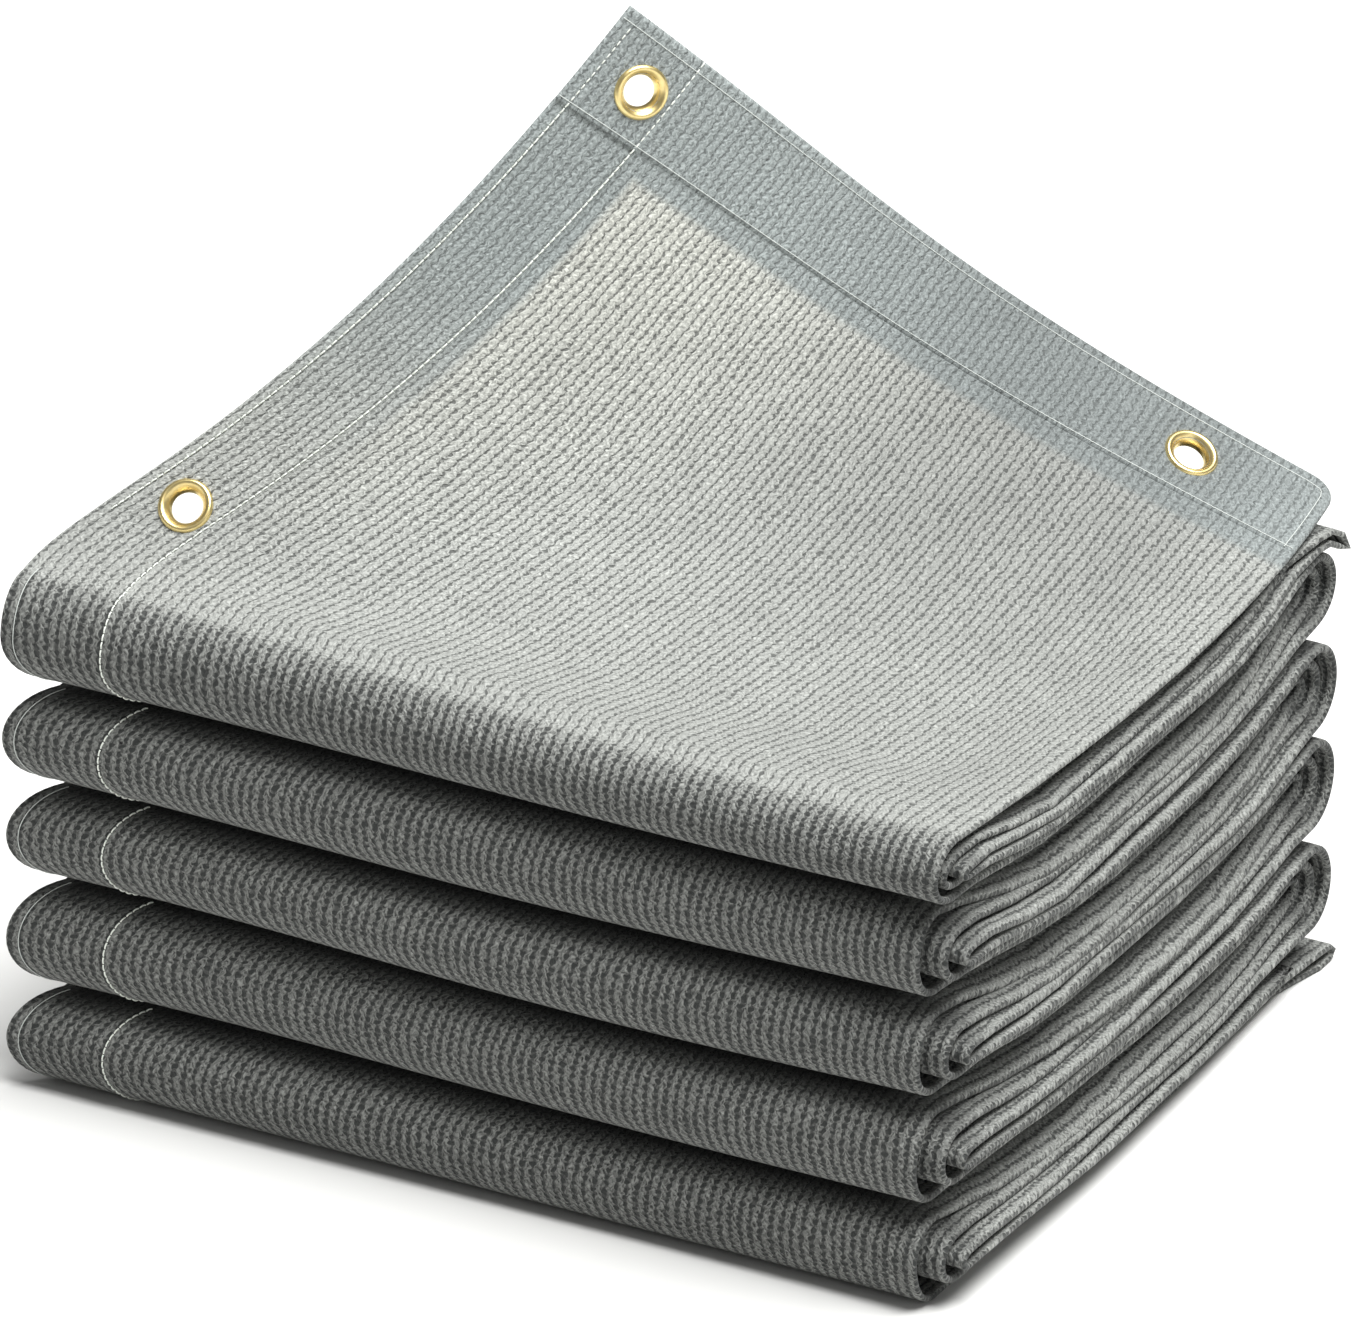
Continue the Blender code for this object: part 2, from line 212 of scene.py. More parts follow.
# the lifted top layer: four edge curves, each as four control points
flap = {
    "left": ((-0.1945, -0.1410, 0.2052), (-0.1953, -0.0910, 0.2165),
             (-0.1098, -0.0865, 0.2584), (-0.0319, 0.0264, 0.4008)),
    "rear": ((-0.0319, 0.0264, 0.4008), (0.0471, 0.0877, 0.3108),
             (0.0394, 0.1368, 0.2606), (0.1910, 0.1647, 0.1935)),
    "right": ((0.1920, -0.1410, 0.1895), (0.1940, -0.0400, 0.1795),
              (0.1970, 0.0950, 0.1750), (0.1910, 0.1647, 0.1935)),
    "curveSteps": 60,
    "fieldRows": 56,
    # shares of the layer: where the hem strip sinks into the cloth, its side line and its rear line
    "hemStart": 0.112,
    "hemLead": 0.012,
    "hemSide": 0.1144,
    "hemRear": 0.861,
    "hemSteps": (13, 118, 92, 15),
    # the sag behind the front fold: steep and gentle part, in metres, and where they lie along the layer
    "sagDepth": (0.0072, 0.0025),
    "sagFrom": (0.045, 0.150),
    "sagSteep": (0.065, 0.075),
    "sagGentle": (0.10, 0.42),
    "sagEnds": (0.42, 0.84),
    "sagSides": ((0.10, 0.34), (0.86, 1.0)),
    "crestHeight": 0.0020,
    "crestAt": 0.030,
    "crestWidth": 0.030,
    "cornerRound": 0.030,
    "length": 0.3201,
}

# the sheet: half thicknesses in metres, and shares of its width where its right end swells and hangs
sheet = {
    "width": 0.389,
    "halfThick": 0.00115,
    "leftEndHalf": 0.0013,
    "rightEndHalf": 0.0026,
    "rightEndFrom": 0.965,
    "rightEndFull": 0.992,
    "liftedFullness": 0.12,
    "fallsFrom": 0.925,
    "lowestFall": 0.0030,
    # marks for the knit: how open it is at the right ends, which also darkens them partly as painted shade, and where
    # the painted shade of the deep gaps begins and ends
    "edgeOpeningAndShade": 0.34,
    "stretchFrom": (0.950, 0.985),
    "paintedShadeLeft": (0.0, 0.020),
    "paintedShadeRight": (0.930, 0.985),
    "paintedShadeAngles": (40.0, 85.0),
    "hemHalf": 0.0015,
    "hemRaised": 0.0004,
}

curveLengths = {}


def smoothStep(value, low, high):
    share = np.clip((np.asarray(value, float) - low) / (high - low), 0.0, 1.0)
    return share * share * (3.0 - 2.0 * share)


def between(first, second, share):
    return first + (second - first) * share


def sideShare(x):
    return (x + pile["halfWidth"]) / (2.0 * pile["halfWidth"])


def foldHeight(fold, x):
    heights = pile["foldHeights"]
    if fold < len(heights):
        return heights[fold] + 0.0 * x
    return between(pile["topFoldLeft"], pile["topFoldRight"], sideShare(x))


def foldBase(fold):
    return sum(pile["foldHeights"][:fold])


def frontHalf(fold, x):
    return foldHeight(fold, x) / 2.0 - pile["foldClearance"]


def frontMiddle(fold, x):
    return foldBase(fold) + foldHeight(fold, x) / 2.0


def backHalf(fold, x):
    both = foldHeight(fold, x) + foldHeight(fold + 1, x)
    return (both / 4.0 - pile["foldClearance"]) * pile["backPinch"]


def armHeights(fold, ply, upper, x):
    top = len(pile["foldHeights"])
    share, inner = pile["plies"][ply][0], pile["plies"][2 - ply][0]
    sign = 1.0 if upper else -1.0
    front = frontMiddle(fold, x) + sign * share * frontHalf(fold, x)
    if upper and fold == top:
        low = pile["topTurnHeight"]
        back = foldBase(fold) + (low if ply == 2 else low + pile["topTurnSpacing"])
        back = back + pile["armSlopes"] * (foldHeight(fold, x) - pile["topFoldRight"])
    elif upper:
        back = foldBase(fold + 1) - inner * backHalf(fold, x)
    elif fold > 0:
        back = foldBase(fold) + inner * backHalf(fold - 1, x)
    else:
        back = (pile["floorTurn"][0][1], pile["floorTurn"][-1][1], pile["floorPly"])[ply] + 0.0 * x
    if ply == 0 and fold == 0 and not upper:
        front = pile["bottom"] + 0.0 * x
    return front, back


def armPoint(fold, ply, upper, along, x):
    start = -pile["halfDepth"] + pile["plies"][ply][1] + pile["plies"][ply][2]
    end = pile["halfDepth"] - pile["plies"][2 - ply][1] - pile["plies"][2 - ply][2]
    front, back = armHeights(fold, ply, upper, x)
    height = between(front, back, smoothStep(along, 0.0, 1.0))
    if fold > 0 or upper or ply > 0:
        # each layer waves out of step with the next
        outOfStep = 2.1 * fold + 1.3 * ply + (1.7 if upper else 0.0)
        wave = math.sin(pile["armWaveTurns"] * along + outOfStep)
        height = height + pile["armWave"] * wave * math.sin(math.pi * along)
    return between(start, end, along) + 0.0 * x, height


def frontPoint(fold, ply, angle, x):
    share, setback, depth = pile["plies"][ply]
    turn = math.radians(angle)
    middle = frontMiddle(fold, x)
    half = share * frontHalf(fold, x)
    low = pile["bottom"] if ply == 0 and fold == 0 else middle - half
    reach = middle - low if angle < 0 else half
    forward = -pile["halfDepth"] + setback + depth * (1.0 - max(0.0, math.cos(turn)) ** 0.9)
    return forward + 0.0 * x, middle + reach * math.sin(turn)


def backPoint(fold, ply, angle, x):
    share, setback, depth = pile["plies"][2 - ply]
    turn = math.radians(angle)
    rearward = pile["halfDepth"] - setback - depth * (1.0 - max(0.0, math.cos(turn)) ** 0.9)
    return rearward + 0.0 * x, foldBase(fold + 1) + share * backHalf(fold, x) * math.sin(turn)


def topTurnPoint(fold, ply, value, x):
    side = sideShare(x)
    drop = between(*pile["topTurnDrop"], side)
    low = armHeights(fold, 2, True, x)[1]
    spacing = pile["topTurnSpacing"]
    if value == "tip":
        back = pile["topTurnStart"] + between(*pile["topTurnReach"], side)
        return back, low + spacing / 2.0 - drop * 1.02
    away, share, tilt = pile["topTurn"][value]
    tiltLeft, awayLeft = pile["topTurnLeftShare"]
    tilt = math.radians(tilt) * between(tiltLeft, 1.0, side)
    apart = spacing / 2.0 * (1.0 if ply == 1 else -1.0)
    back = pile["topTurnStart"] + away * between(awayLeft, 1.0, side) + apart * np.sin(tilt)
    return back, low + spacing / 2.0 - drop * share + apart * np.cos(tilt)


def stationPoint(station, x):
    # a station is a step of the cloth's way through the pile: kind, fold, ply, and angle or share
    kind, fold, ply, value = station
    if kind == "front":
        return frontPoint(fold, ply, value, x)
    if kind == "back":
        return backPoint(fold, ply, value, x)
    if kind in ("upper", "lower"):
        return armPoint(fold, ply, kind == "upper", value, x)
    if kind == "floor":
        return pile["floorTurn"][value][0] + 0.0 * x, pile["floorTurn"][value][1] + 0.0 * x
    return topTurnPoint(fold, ply, value, x)


def stationEnds(station):
    kind, fold, ply, value = station
    top = len(pile["foldHeights"])
    front, middle, back = pile["rightEnds"][ply]
    if fold == top and ply == 0:
        front = pile["topFoldRightEnd"]
    turned = 1.0
    if kind == "front":
        right = front
        turned = 1.0 - math.cos(math.radians(value))
        if fold == top and ply == 0 and value > 0:
            turned = 0.0
    elif kind == "back":
        right = back
    elif kind in ("upper", "lower"):
        right = between(between(front, middle, smoothStep(value, 0.0, 0.5)), back, smoothStep(value, 0.6, 1.0))
    elif kind == "floor":
        right = pile["halfWidth"]
    else:
        right = pile["topTurnRightEnd"]
    return pile["leftEnds"][ply] + pile["leftRounding"][ply] * turned, float(right)


def settled(x, y, z):
    # sag of the pile between its folds and the slight unevenness of the cloth
    loaded = smoothStep(y, *pile["sagFront"]) * (1.0 - smoothStep(y, *pile["sagBack"]))
    above = np.maximum(0.0, z - pile["sagFreeHeight"])
    turnsX, turnsY = pile["rippleTurns"]
    leanX, leanZ = pile["leanTurns"]
    lift = pile["ripple"] * np.sin(turnsX * x + 0.8) * np.sin(turnsY * y + 0.5) * np.minimum(1.0, above / 0.05)
    lean = pile["ripple"] * np.sin(leanX * x + leanZ * z) * np.minimum(1.0, above / 0.02)
    return np.stack((x, y + lean, z - pile["sag"] * loaded * above + lift), axis=-1)


def curveAt(controls, share):
    share = np.atleast_1d(np.asarray(share, float))[:, None]
    first, second, third, fourth = np.array(controls)
    rest = 1.0 - share
    return first * rest ** 3 + second * 3.0 * rest ** 2 * share + third * 3.0 * rest * share ** 2 + fourth * share ** 3


def curvePoint(controls, share):
    # points at shares of the curve's length
    if controls not in curveLengths:
        places = np.linspace(0.0, 1.0, flap["curveSteps"] + 1)
        gaps = np.linalg.norm(np.diff(curveAt(controls, places), axis=0), axis=1)
        lengths = np.concatenate(([0.0], np.cumsum(gaps)))
        curveLengths[controls] = (places, lengths / lengths[-1])
    places, lengths = curveLengths[controls]
    return curveAt(controls, np.interp(np.clip(share, 0.0, 1.0), lengths, places))


def roundedCorner(across, along):
    # the rear right corner of the lifted layer is rounded
    size = flap["cornerRound"]
    overX = np.clip((across - (1.0 - size)) / size, 0.0, 1.0)
    overY = np.clip((along - (1.0 - size)) / size, 0.0, 1.0)
    longest = np.maximum(overX, overY)
    factor = np.where(longest > 0.0, longest / np.maximum(np.hypot(overX, overY), 1e-9), 1.0)
    inside = (overX > 0.0) & (overY > 0.0)
    across = np.where(inside, 1.0 - size + overX * factor * size, across)
    along = np.where(inside, 1.0 - size + overY * factor * size, along)
    return across, along


def liftedPoints(across, along):
    # points of the lifted layer between its four edge curves
    across, along = roundedCorner(*np.broadcast_arrays(np.atleast_1d(across), np.atleast_1d(along)))
    station = ("front", len(pile["foldHeights"]), 0, 90)
    left, right = stationEnds(station)
    x = between(left, right, across)
    front = settled(x, *frontPoint(station[1], 0, 90, x))
    ends = np.array((left, right))
    frontLeft, frontRight = settled(ends, *frontPoint(station[1], 0, 90, ends))
    s, t = across[:, None], along[:, None]
    rear = curvePoint(flap["rear"], across)
    leftEdge = curvePoint(flap["left"], along) + (frontLeft - np.array(flap["left"][0])) * (1.0 - t)
    rightEdge = curvePoint(flap["right"], along) + (frontRight - np.array(flap["right"][0])) * (1.0 - t)
    corners = (frontLeft * (1.0 - s) + frontRight * s) * (1.0 - t)
    corners = corners + (np.array(flap["rear"][0]) * (1.0 - s) + np.array(flap["rear"][3]) * s) * t
    points = front * (1.0 - t) + rear * t + leftEdge * (1.0 - s) + rightEdge * s - corners
    # it sags behind the roll of its front fold, further back towards the right
    begins = between(*flap["sagFrom"], across)
    steep, gentle = flap["sagDepth"]
    before, after = flap["sagSteep"]
    sag = steep * smoothStep(along, begins - before, begins + after) + gentle * smoothStep(along, *flap["sagGentle"])
    sag = sag * (1.0 - smoothStep(along, *flap["sagEnds"]))
    fromCrest = (along - flap["crestAt"]) / flap["crestWidth"]
    crest = flap["crestHeight"] * np.exp(-fromCrest ** 2) * smoothStep(along, 0.0, 0.02)
    leftSide, rightSide = flap["sagSides"]
    inner = smoothStep(across, *leftSide) * (1.0 - smoothStep(across, *rightSide))
    points[:, 2] += (crest - sag) * inner
    return points


def liftedNormals(across, along, step=0.004):
    across, along = np.broadcast_arrays(np.atleast_1d(across).astype(float), np.atleast_1d(along).astype(float))
    over = liftedPoints(np.clip(across + step, 0, 1), along) - liftedPoints(np.clip(across - step, 0, 1), along)
    back = liftedPoints(across, np.clip(along + step, 0, 1)) - liftedPoints(across, np.clip(along - step, 0, 1))
    normals = np.cross(over, back)
    return normals / np.linalg.norm(normals, axis=1)[:, None]


def foldAngles(steps):
    return [90.0 - 180.0 * number / steps for number in range(steps + 1)]


def armShares():
    count = pile["armSteps"]
    return [(number + 0.5) / count for number in range(count)]


def downwardPath(ply):
    top = len(pile["foldHeights"])
    path = []
    for fold in range(top, -1, -1):
        path += [("front", fold, ply, angle) for angle in foldAngles(pile["frontSteps"][ply])]
        path += [("lower", fold, ply, step) for step in armShares()]
        if fold > 0:
            path += [("back", fold - 1, ply, angle) for angle in foldAngles(pile["frontSteps"][2 - ply])]
            path += [("upper", fold - 1, ply, step) for step in reversed(armShares())]
    return path


def wholePath():
    top = len(pile["foldHeights"])
    path = downwardPath(0)
    path += [("floor", 0, 0 if number < 3 else 1, number) for number in range(len(pile["floorTurn"]))]
    path += list(reversed(downwardPath(1)))
    path += [("upper", top, 1, step) for step in armShares()]
    path += [("turn", top, 1, number) for number in range(len(pile["topTurn"]))]
    path += [("turn", top, 1, "tip")]
    path += [("turn", top, 2, number) for number in reversed(range(len(pile["topTurn"])))]
    path += [("upper", top, 2, step) for step in reversed(armShares())]
    return path + downwardPath(2)


def columnShares():
    side = flap["hemSide"]
    leftDense = [0.0, 0.0003, 0.0010, 0.0021, 0.0034, 0.0070, 0.0130, 0.0250, 0.0450, 0.0700, 0.0920]
    hemLine = [side - 0.0060, side - 0.0030, side, side + 0.0040, side + 0.0120]
    middle = list(np.linspace(0.150, 0.910, 20))
    rightDense = [0.9300, 0.9450, 0.9570, 0.9660, 0.9740, 0.9800, 0.9850, 0.9890, 0.9925,
                  0.9950, 0.9970, 0.9985, 0.9995, 1.0]
    return np.array(leftDense + hemLine + middle + rightDense), len(leftDense)


def flapRows():
    # steps of the lifted layer from under its rear hem to the front fold, and the row where the left hem begins
    rear, start = flap["hemRear"], flap["hemStart"]
    back = [rear + 0.012, rear + 0.008, rear + 0.004, rear, rear - 0.006]
    field = list(np.linspace(rear - 0.018, start + 0.014, flap["fieldRows"]))
    front = [start + 0.006, start + 0.003, start] + list(np.linspace(start - 0.010, 0.0, 12))[:-1]
    return np.array(back + field + front), len(back) + len(field)


def roundedEnd(distance, half):
    # half thickness of a soft end, round like the end of a bolster
    share = np.clip(distance / half, 0.0, 1.0)
    return np.sqrt(np.maximum(0.0, 1.0 - (1.0 - share) ** 2))


# how the cloth's right end hangs: ply and whether it is the upper arm; fall, reach and fullness
endForms = {
    (0, True): (0.0082, 0.0045, 0.80),
    (1, True): (0.0060, 0.0005, 0.85),
    (2, True): (0.0039, -0.0005, 0.80),
    (2, False): (0.0018, 0.0, 0.75),
    (1, False): (-0.0004, 0.0, 0.90),
    (0, False): (-0.0009, 0.0010, 1.0),
}


def endForm(station):
    # fall and reach of the right end in metres, and how full its turned edge is
    kind, fold, ply, value = station
    atTop = fold == len(pile["foldHeights"])
    if kind in ("floor", "turn") or (fold == 0 and ply == 0 and kind == "lower"):
        return 0.0, 0.0, 0.0
    if kind in ("front", "back"):
        share = 0.5 + 0.5 * math.sin(math.radians(value))
        if kind == "back":
            share = 1.0 - share
        fall, reach, full = (between(low, high, share)
                             for low, high in zip(endForms[ply, False], endForms[ply, True]))
        tight = (kind == "front" and ply == 2) or (kind == "back" and ply == 0)
        grounded = kind == "front" and fold == 0 and ply == 0 and value < 0
        fall *= 0.45 if kind == "front" else 0.30
        if grounded or (kind == "front" and atTop and ply == 0):
            fall = 0.0
        return fall, 0.0, 0.0 if tight or grounded else (0.15 if kind == "front" else 0.25)
    fall, reach, full = endForms[ply, kind == "upper"]
    # each layer's edge wanders on its own
    turn = 2.3 * fold + 1.9 * ply + (0.8 if kind == "upper" else 0.0)
    fall += 0.0010 * math.sin(7.0 * value + turn) + 0.0005 * math.sin(17.0 * value + 2.0 * turn)
    reach += 0.0013 * math.sin(5.0 * value + 1.7 * turn)
    full *= 1.0 + 0.15 * math.sin(9.0 * value + 2.6 * turn)
    # it hangs less near the folds
    fall *= between(0.45, 1.0, float(smoothStep(value, 0.0, 0.2)))
    fall *= between(1.0, 0.30, float(smoothStep(value, 0.7, 1.0)))
    bell = math.sin(math.pi * float(np.clip(value, 0.02, 0.98))) ** 0.5
    if atTop:
        fall, full = 0.4 * fall, 0.45 * full
    return fall, reach * bell, float(np.clip(full, 0.0, 1.0)) * bell


def halfThickness(shares, fullness):
    across = shares * sheet["width"]
    swollen = smoothStep(shares, sheet["rightEndFrom"], sheet["rightEndFull"]) * fullness
    half = between(sheet["halfThick"], sheet["rightEndHalf"], swollen)
    endHalf = max(sheet["halfThick"], between(sheet["halfThick"], sheet["rightEndHalf"], fullness))
    half = half * roundedEnd(across, sheet["leftEndHalf"])
    return half * roundedEnd(sheet["width"] - across, endHalf)


def gridNormals(points):
    along = np.gradient(points, axis=0)
    over = np.gradient(points, axis=1)
    normals = np.cross(over, along)
    return normals / np.maximum(np.linalg.norm(normals, axis=2), 1e-12)[:, :, None]


def closedSheet(name, points, halves, acrossMetres, alongMetres, measures, skipped=None):
    # two skins that meet at their rims; halves is 0 along every outer rim
    rows, columns = points.shape[:2]
    normals = gridNormals(points)
    upper = points - normals * halves[:, :, None]
    lower = points + normals * halves[:, :, None]
    numbers = np.arange(rows * columns).reshape(rows, columns)
    rim = halves < 1e-7
    below = np.where(rim, numbers, numbers + rows * columns)
    places = np.concatenate((upper.reshape(-1, 3), lower.reshape(-1, 3)))
    faces = []
    for skin, turned in ((numbers, False), (below, True)):
        corners = np.stack((skin[:-1, :-1], skin[:-1, 1:], skin[1:, 1:], skin[1:, :-1]), axis=-1)
        if skipped is not None:
            corners = corners[~skipped]
        corners = corners.reshape(-1, 4)
        faces += (corners[:, ::-1] if turned else corners).tolist()
    mesh = bpy.data.meshes.new(name)
    mesh.from_pydata(places.tolist(), [], faces)
    flat = np.stack((acrossMetres.ravel(), alongMetres.ravel()), axis=-1)
    flat = np.concatenate((flat, flat))
    loops = np.zeros(len(mesh.loops), np.int32)
    mesh.loops.foreach_get("vertex_index", loops)
    layer = mesh.uv_layers.new(name="clothMetres")
    layer.data.foreach_set("uv", flat[loops].astype(np.float32).ravel())
    for label, values in measures.items():
        attribute = mesh.attributes.new(label, "FLOAT", "POINT")
        attribute.data.foreach_set("value", np.concatenate((values.ravel(),) * 2).astype(np.float32))
    tidy = bmesh.new()
    tidy.from_mesh(mesh)
    bmesh.ops.delete(tidy, geom=[v for v in tidy.verts if not v.link_faces], context="VERTS")
    bmesh.ops.recalc_face_normals(tidy, faces=tidy.faces)
    tidy.to_mesh(mesh)
    tidy.free()
    mesh.shade_smooth()
    item = bpy.data.objects.new(name, mesh)
    bpy.context.scene.collection.objects.link(item)
    return item


def makeFoldedCloth():
    shares, hemColumn = columnShares()
    steps, hemRow = flapRows()
    pointRows, halfRows, stretchRows, shadeRows, alongMetres = [], [], [], [], []
    for step in steps:
        pointRows.append(liftedPoints(shares, step))
        halfRows.append(halfThickness(shares, sheet["liftedFullness"]))
        stretchRows.append(0.0 * shares)
        shadeRows.append(0.0 * shares)
        alongMetres.append((1.0 - step) * flap["length"])
    for station in wholePath():
        kind, fold, ply, value = station
        left, right = stationEnds(station)
        fall, reach, full = endForm(station)
        x = between(left, right + reach, shares)
        row = settled(x, *stationPoint(station, x))
        hung = np.clip((shares - sheet["fallsFrom"]) / (1.0 - sheet["fallsFrom"]), 0.0, 1.0) ** 2
        row[:, 2] = np.maximum(row[:, 2] - fall * hung, np.minimum(row[:, 2], sheet["lowestFall"]))
        pointRows.append(row)
        halfRows.append(halfThickness(shares, full))
        # how open the knit is round the bends and at the right ends; the knit's colour darkens with it, partly for the
        # opened holes and partly as painted shade
        bent = kind in ("front", "back") and abs(value) < 90
        bend = math.cos(math.radians(value)) ** 0.5 if bent else 0.0
        stretchRows.append(np.maximum(bend, sheet["edgeOpeningAndShade"] * smoothStep(shares, *sheet["stretchFrom"])))
        # painted shade: the deep parts between folds and layers, where no light comes, are darkened in the knit's
        # colour
        inner = smoothStep(shares, *sheet["paintedShadeLeft"]) * (1.0 - smoothStep(shares, *sheet["paintedShadeRight"]))
        atTop = fold == len(pile["foldHeights"])
        if kind in ("front", "back"):
            onTop = kind == "front" and atTop and ply == 0 and value > 0
            shade = 0.0 if onTop else float(smoothStep(abs(value), *sheet["paintedShadeAngles"]))
            shadeRows.append(shade * between(0.5, 1.0, inner))
        elif kind in ("floor", "turn") or (kind == "upper" and atTop):
            shadeRows.append(0.0 * shares)
        else:
            shadeRows.append(inner)
        alongMetres.append(alongMetres[-1] + np.linalg.norm(pointRows[-1] - pointRows[-2], axis=1).mean())
    halves = np.array(halfRows)
    halves[0] = 0.0
    halves[-1] = 0.0
    # the hem strip of the lifted layer is a piece of its own, and the cloth ends under it
    halves[:hemRow + 1, hemColumn] = 0.0
    halves[hemRow, :hemColumn + 1] = 0.0
    skipped = np.zeros((halves.shape[0] - 1, halves.shape[1] - 1), bool)
    skipped[:hemRow, :hemColumn] = True
    acrossGrid, alongGrid = np.meshgrid(shares * sheet["width"], np.array(alongMetres))
    cloth = closedSheet("foldedShadeCloth", np.array(pointRows), halves, acrossGrid, alongGrid,
                        {"stretchAndShade": np.array(stretchRows), "shade": np.array(shadeRows)}, skipped)
    return cloth, alongMetres[-1]


foldedCloth, clothLength = makeFoldedCloth()
print("cloth folded:", len(foldedCloth.data.polygons), "faces,", round(float(clothLength), 3), "m long")


def hemHalf(across, along):
    # full in the middle of the band, round at its edges, sinking into the cloth where it begins
    toSide = (flap["hemSide"] - across) * sheet["width"]
    toRear = (along - flap["hemRear"]) * flap["length"]
    inner = np.where((toSide > 0.0) & (toRear > 0.0), np.hypot(toSide, toRear), np.maximum(toSide, toRear))
    outer = np.minimum(np.minimum(across, 1.0 - across) * sheet["width"], (1.0 - along) * flap["length"])
    start = flap["hemStart"] - flap["hemLead"]
    begins = smoothStep(along, start, flap["hemStart"] + 0.030)
    half = sheet["hemHalf"] * between(0.55, 1.0, begins)
    half = half * roundedEnd(np.minimum(inner, outer), sheet["hemHalf"])
    return half * roundedEnd((along - start) * flap["length"], 0.0006)


def makeHemStrip():
    side, rear, start = flap["hemSide"], flap["hemRear"], flap["hemStart"] - flap["hemLead"]
    sideSteps, fieldSteps, lengthSteps, rearSteps = flap["hemSteps"]
    edge = [0.0, 0.0006, 0.0015, 0.0028, 0.0042]
    across = edge + list(np.linspace(0.010, side - 0.010, sideSteps)) + [side - e for e in reversed(edge)]
    across += list(np.linspace(side + 0.008, 0.990, fieldSteps)) + [1.0 - e for e in reversed(edge)]
    along = [start, start + 0.001, start + 0.003] + list(np.linspace(start + 0.009, rear - 0.008, lengthSteps))
    along += [rear + e for e in edge] + list(np.linspace(rear + 0.010, 0.989, rearSteps))
    along += [1.0 - e for e in reversed(edge)]
    across, along = np.array(across), np.array(along)[::-1]
    acrossGrid, alongGrid = np.meshgrid(across, along)
    halves = hemHalf(acrossGrid, alongGrid)
    sideColumn = int(np.argmin(abs(across - side)))
    rearRow = int(np.argmin(abs(along - rear)))
    halves[rearRow, sideColumn:] = 0.0
    halves[rearRow:, sideColumn] = 0.0
    halves[[0, -1]] = 0.0
    halves[:, [0, -1]] = 0.0
    points = liftedPoints(acrossGrid.ravel(), alongGrid.ravel())
    normals = liftedNormals(acrossGrid.ravel(), alongGrid.ravel())
    raised = sheet["hemRaised"] * smoothStep(alongGrid.ravel(), rear - 0.001, rear + 0.001)
    points = (points + normals * raised[:, None]).reshape(*halves.shape, 3)
    skipped = np.zeros((halves.shape[0] - 1, halves.shape[1] - 1), bool)
    skipped[rearRow:, sideColumn:] = True
    marks = {"stretchAndShade": 0.0 * halves, "shade": 0.0 * halves}
    return closedSheet("eyeletHemStrip", points, halves, acrossGrid * sheet["width"],
                       (1.0 - alongGrid) * flap["length"], marks, skipped)


eyelet = {
    # name, share across, share along
    "places": (("grommet_corner", 0.072, 0.924), ("grommet_left", 0.068, 0.165), ("grommet_right", 0.845, 0.930)),
    "holeRadius": 0.0072,
    "punchDepth": 0.03,
    # the seat is taken from the layer this share to each side
    "span": 0.015,
    "steps": 120,
    # radius and height of the ring's section in millimetres, from the funnel over the crown and round the back
    "section": (
        (6.00, -1.60), (6.00, -0.90), (6.12, -0.20), (6.40, 0.55), (6.80, 1.25), (7.30, 1.90), (7.85, 2.50),
        (8.40, 2.95), (8.95, 3.15), (9.45, 3.10), (9.90, 2.85), (10.22, 2.45), (10.42, 2.00), (10.50, 1.60),
        (10.30, 1.45), (6.80, 1.30), (6.80, -1.30), (10.20, -1.45), (10.50, -1.62), (10.42, -2.10), (10.05, -2.55),
        (9.30, -2.80), (8.40, -2.85), (7.50, -2.75), (6.75, -2.55), (6.25, -2.20),
    ),
}


def eyeletSeat(across, along):
    span = eyelet["span"]
    overs = np.array((-1, 1, 1, -1)) * span + across
    backs = np.array((-1, -1, 1, 1)) * span + along
    corners = [Vector(corner) for corner in liftedPoints(overs, backs)]
    normal = (corners[2] - corners[0]).cross(corners[3] - corners[1]).normalized()
    side = Vector((1.0, 0.0, 0.0))
    side = (side - normal * side.dot(normal)).normalized()
    turned = Matrix((side, normal.cross(side), normal)).transposed().to_4x4()
    turned.translation = sum(corners, Vector()) / 4.0
    return turned


def punchHoles(hem):
    # one punch the size of the throat at each eyelet
    tools = []
    for name, across, along in eyelet["places"]:
        bpy.ops.mesh.primitive_cylinder_add(vertices=64, radius=eyelet["holeRadius"],
                                            depth=eyelet["punchDepth"])
        tool = bpy.context.active_object
        tool.matrix_world = eyeletSeat(across, along)
        cut = hem.modifiers.new("punch", "BOOLEAN")
        cut.operation = "DIFFERENCE"
        cut.solver = "EXACT"
        cut.object = tool
        tools.append(tool)
    bpy.context.view_layer.update()
    evaluated = hem.evaluated_get(bpy.context.evaluated_depsgraph_get())
    punched = bpy.data.meshes.new_from_object(evaluated)
    hem.modifiers.clear()
    hem.data = punched
    punched.shade_smooth()
    for tool in tools:
        bpy.data.objects.remove(tool, do_unlink=True)


def makeEyelet(name, across, along):
    # a turned brass ring: the section swept once round
    section = [(radius / 1000.0, height / 1000.0) for radius, height in eyelet["section"]]
    count, steps = len(section), eyelet["steps"]
    seat = eyeletSeat(across, along)
    places = []
    for step in range(steps):
        angle = 2.0 * math.pi * step / steps
        places += [seat @ Vector((r * math.cos(angle), r * math.sin(angle), h)) for r, h in section]
    faces = []
    for step in range(steps):
        following = (step + 1) % steps
        for number in range(count):
            after = (number + 1) % count
            faces.append((step * count + number, following * count + number,
                          following * count + after, step * count + after))
    mesh = bpy.data.meshes.new(name)
    mesh.from_pydata(places, [], faces)
    tidy = bmesh.new()
    tidy.from_mesh(mesh)
    bmesh.ops.recalc_face_normals(tidy, faces=tidy.faces)
    tidy.to_mesh(mesh)
    tidy.free()
    mesh.shade_smooth()
    item = bpy.data.objects.new(name, mesh)
    bpy.context.scene.collection.objects.link(item)
    return item


hemStrip = makeHemStrip()
punchHoles(hemStrip)
eyelets = [makeEyelet(name.replace("grommet", "brassEyelet"), across, along)
           for name, across, along in eyelet["places"]]
print("hem strip punched and eyelets turned")

